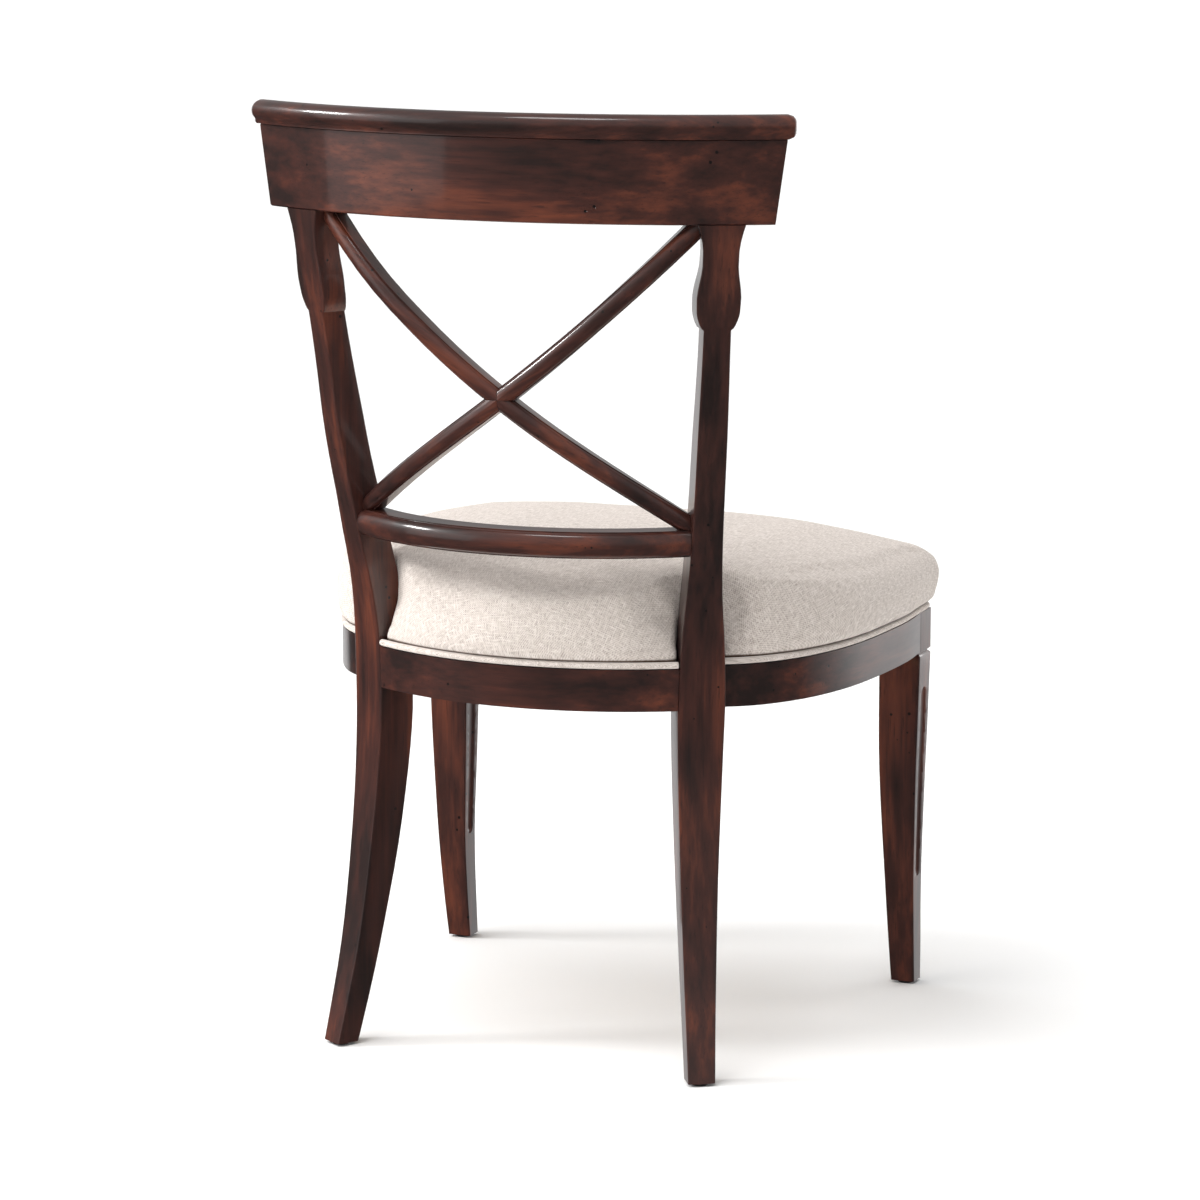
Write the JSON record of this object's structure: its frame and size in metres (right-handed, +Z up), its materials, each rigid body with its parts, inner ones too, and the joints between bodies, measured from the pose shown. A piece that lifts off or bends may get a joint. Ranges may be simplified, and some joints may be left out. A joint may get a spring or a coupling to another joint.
{
  "type": "klismos dining chair with a crossed back",
  "caption": "Klismos side chair: sabre rear legs, curved crest rail, X-shaped back, fluted tapered front legs and a crowned, piped seat cushion.",
  "frame": {"origin": "on the floor, under the middle of the outline", "axes": "+Z up; the chair faces -Y, its back is at +Y; +X is the sitter's left"},
  "size_m": [0.5974, 0.5368, 0.9486],
  "materials": {
    "mahogany": "dark reddish-brown, satin gloss",
    "inner_wood": "pale, unfinished, under the seat",
    "linen": "light oatmeal twill",
    "glide": "dark nylon"
  },
  "bodies": {
    "root": {"rear_leg_left": "mahogany", "front_leg_left": "mahogany", "rear_leg_right": "mahogany", "front_leg_right": "mahogany", "side_seat_rail_left": "mahogany", "side_seat_rail_right": "mahogany", "rear_seat_rail": "mahogany", "front_seat_rail": "mahogany", "lower_back_rail": "mahogany", "crest_rail": "mahogany", "crest_roll": "mahogany", "cross_slat_left": "mahogany", "cross_slat_right": "mahogany", "seat_board": "inner_wood", "corner_brace_front_left": "inner_wood", "corner_brace_rear_left": "inner_wood", "corner_brace_front_right": "inner_wood", "corner_brace_rear_right": "inner_wood", "seat_cushion": "linen", "seat_welt_front": "linen", "seat_welt_rear": "linen", "glide_rear_left": "glide", "glide_front_left": "glide", "glide_rear_right": "glide", "glide_front_right": "glide"}
  },
  "joints": []
}
